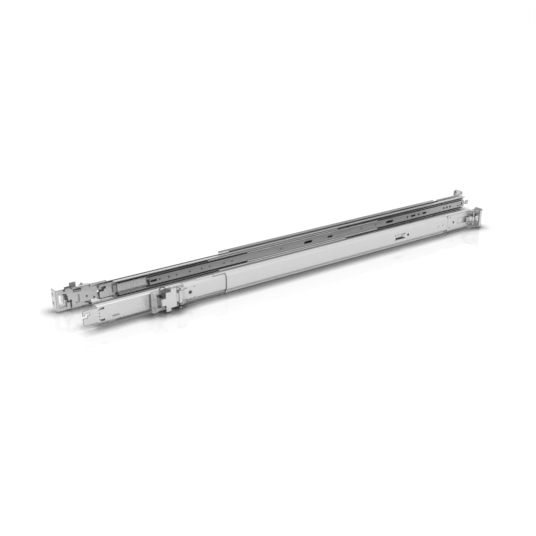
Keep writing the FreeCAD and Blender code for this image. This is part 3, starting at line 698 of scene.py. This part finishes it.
# front bracket: studs with a nose and a dent in it, upright pin, dimples, low pad and a frame round the
# window; seat is how far a pressing goes into the plate, noseIn and noseBack are shares of the nose,
# dentMouth and dentFloor of the stud's radius
frontMarks = {"studSteps": 32, "studFoot": 1.2 * mm, "studGroove": 0.5 * mm, "studNose": 1.4 * mm,
              "noseIn": 0.75, "noseBack": 0.2, "dentMouth": 0.3, "dentFloor": 0.22,
              "pinChamfer": 0.4 * mm, "inset": 1.5 * mm, "dimpleAhead": 8.0 * mm, "dimpleLow": 10.5 * mm,
              "dimpleHigh": 33.4 * mm, "dimpleRadius": 1.3 * mm, "dimpleProud": 0.5 * mm,
              "embossBack": 52.0 * mm, "embossLength": 18.0 * mm, "embossHalf": 6.0 * mm,
              "embossProud": 0.35 * mm, "seat": 1.3 * mm, "windowBack": 31.0 * mm,
              "windowLength": 22.0 * mm, "windowHalf": 5.7 * mm, "frameWidth": 1.5 * mm,
              "frameProud": 0.7 * mm, "rounding": 0.25 * mm}


def addRackStuds(side):
    bm = bmesh.new()
    axis = Vector((1, 0, 0))
    groove, foot, nose = frontMarks["studGroove"], frontMarks["studFoot"], frontMarks["studNose"]
    for low, high in solidBoxes(side + "_front_rack_studs"):
        radius = (high.y - low.y) / 2
        length = high.x - low.x
        centre = (low + high) / 2 - axis * length / 2
        shank = [(0.0, 0.0), (radius, 0.0), (radius, foot), (radius - groove, foot + groove),
                 (radius - groove, foot + 2 * groove), (radius, foot + 3 * groove)]
        tip = [(radius, length - nose),
               (radius - nose * frontMarks["noseIn"], length - nose * frontMarks["noseBack"]),
               (radius - nose, length)]
        dent = [(radius * frontMarks["dentMouth"], length),
                (radius * frontMarks["dentFloor"], length - groove), (0.0, length - groove)]
        turn(bm, shank + tip + dent, centre, axis, frontMarks["studSteps"])
    finishPiece(side + "FrontRackStuds", bm, "rail_frames", "pin_steel", side + "_front_rack_studs")


def addFrontLatchPin(side):
    bm = bmesh.new()
    for low, high in solidBoxes(side + "_front_latch_pin"):
        addPin(bm, low, high, Vector((0, 0, 1)), frontMarks["pinChamfer"])
    finishPiece(side + "FrontLatchPin", bm, "rail_frames", "pin_steel", side + "_front_latch_pin")


def addFrontPressings(side):
    rail = rails[side]
    way = rail["way"]
    y = rail["webFace"] - way * frontMarks["inset"]
    bm = bmesh.new()
    for height in (frontMarks["dimpleLow"], frontMarks["dimpleHigh"]):
        place = Vector((rail["channelFront"] + frontMarks["dimpleAhead"], y, height))
        addDome(bm, place, Vector((0, way, 0)), frontMarks["dimpleRadius"], frontMarks["dimpleProud"])
    rounding, foot, middle = frontMarks["rounding"], y - way * frontMarks["seat"], rail["middle"]
    rear = rail["bracketFront"] - frontMarks["embossBack"]
    half = frontMarks["embossHalf"]
    front, proud = rear + frontMarks["embossLength"], y + way * frontMarks["embossProud"]
    addPlate(bm, (rear, foot, middle - half), (front, proud, middle + half), rounding)
    rear = rail["bracketFront"] - frontMarks["windowBack"]
    front = rear + frontMarks["windowLength"]
    low, high = middle - frontMarks["windowHalf"], middle + frontMarks["windowHalf"]
    wide, proud = frontMarks["frameWidth"], y + way * frontMarks["frameProud"]
    bars = [(rear - wide, front + wide, high, high + wide), (rear - wide, front + wide, low - wide, low),
            (rear - wide, rear, low, high), (front, front + wide, low, high)]
    for x0, x1, z0, z1 in bars:
        addPlate(bm, (x0, foot, z0), (x1, proud, z1), rounding)
    finishPiece(side + "FrontPressings", bm, "rail_frames", "zinc_sheet")


for side in sides:
    addRackStuds(side)
    addFrontLatchPin(side)
    addFrontPressings(side)
print("front bracket details made")


# floor and light
white = (1.0, 1.0, 1.0, 1.0)
black = (0.0, 0.0, 0.0, 1.0)
studio = {
    "floorSize": 9.0,
    "floorColour": (0.80, 0.80, 0.80, 1.0),
    "floorRough": 0.03,
    "floorShine": 0.9,
    "floorGlow": 0.10,
    "contactReach": 0.03,
    "contactDepth": 3.5,
    # painted shadow: the floor's colour close to the rails
    "paintedShadowColour": (0.03, 0.03, 0.03, 1.0),
    "worldGlow": 1.0,
}


def addFloor():
    mesh = bpy.data.meshes.new("floor")
    bm = bmesh.new()
    bmesh.ops.create_grid(bm, x_segments=1, y_segments=1, size=studio["floorSize"] / 2)
    bm.to_mesh(mesh)
    bm.free()
    floor = bpy.data.objects.new("floor", mesh)
    scene.collection.objects.link(floor)
    mesh.materials.append(floorMaterial())


# painted contact shadow: the floor darkens and stops glowing near the rails; the darkening is only for what
# the camera sees, so it takes no light off the rails' undersides
def floorMaterial():
    material = bpy.data.materials.new("floorPaint")
    material.use_nodes = True
    tree = material.node_tree
    shader = tree.nodes["Principled BSDF"]
    shader.inputs["Specular IOR Level"].default_value = studio["floorShine"]
    shader.inputs["Roughness"].default_value = studio["floorRough"]
    shader.inputs["Emission Strength"].default_value = studio["floorGlow"]
    contact = groupNode(tree, creviceShade, Distance=studio["contactReach"], Depth=studio["contactDepth"])
    path = addNode(tree, "ShaderNodeLightPath")
    base = mixColour(tree, contact.outputs["Open"], studio["paintedShadowColour"], studio["floorColour"])
    base = mixColour(tree, path.outputs["Is Camera Ray"], studio["floorColour"], base)
    join(tree, base, shader.inputs["Base Color"])
    seen = addNode(tree, "ShaderNodeMath", operation="ADD", use_clamp=True)
    join(tree, path.outputs["Is Camera Ray"], seen.inputs[0])
    join(tree, path.outputs["Is Glossy Ray"], seen.inputs[1])
    lit = addNode(tree, "ShaderNodeMath", operation="MULTIPLY")
    join(tree, seen.outputs[0], lit.inputs[0])
    join(tree, contact.outputs["Open"], lit.inputs[1])
    join(tree, mixColour(tree, lit.outputs[0], black, white), shader.inputs["Emission Color"])
    return material


def setWorld():
    world = bpy.data.worlds.new("studio")
    world.use_nodes = True
    scene.world = world
    back = world.node_tree.nodes["Background"]
    back.inputs["Color"].default_value = white
    back.inputs["Strength"].default_value = studio["worldGlow"]


lamps = {
    "overhead": {"place": (0.1, 0.2, 1.9), "size": 1.6, "power": 7.0},
    "front": {"place": (-0.9, -1.7, 1.3), "size": 1.3, "power": 4.0},
}


def addLamps():
    for name, lamp in lamps.items():
        data = bpy.data.lights.new(name, "AREA")
        data.shape = "SQUARE"
        data.size = lamp["size"]
        data.energy = lamp["power"]
        light = bpy.data.objects.new(name, data)
        scene.collection.objects.link(light)
        light.location = lamp["place"]
        light.rotation_euler = (-Vector(lamp["place"])).to_track_quat("-Z", "Y").to_euler()


addFloor()
setWorld()
addLamps()
print("studio lit")
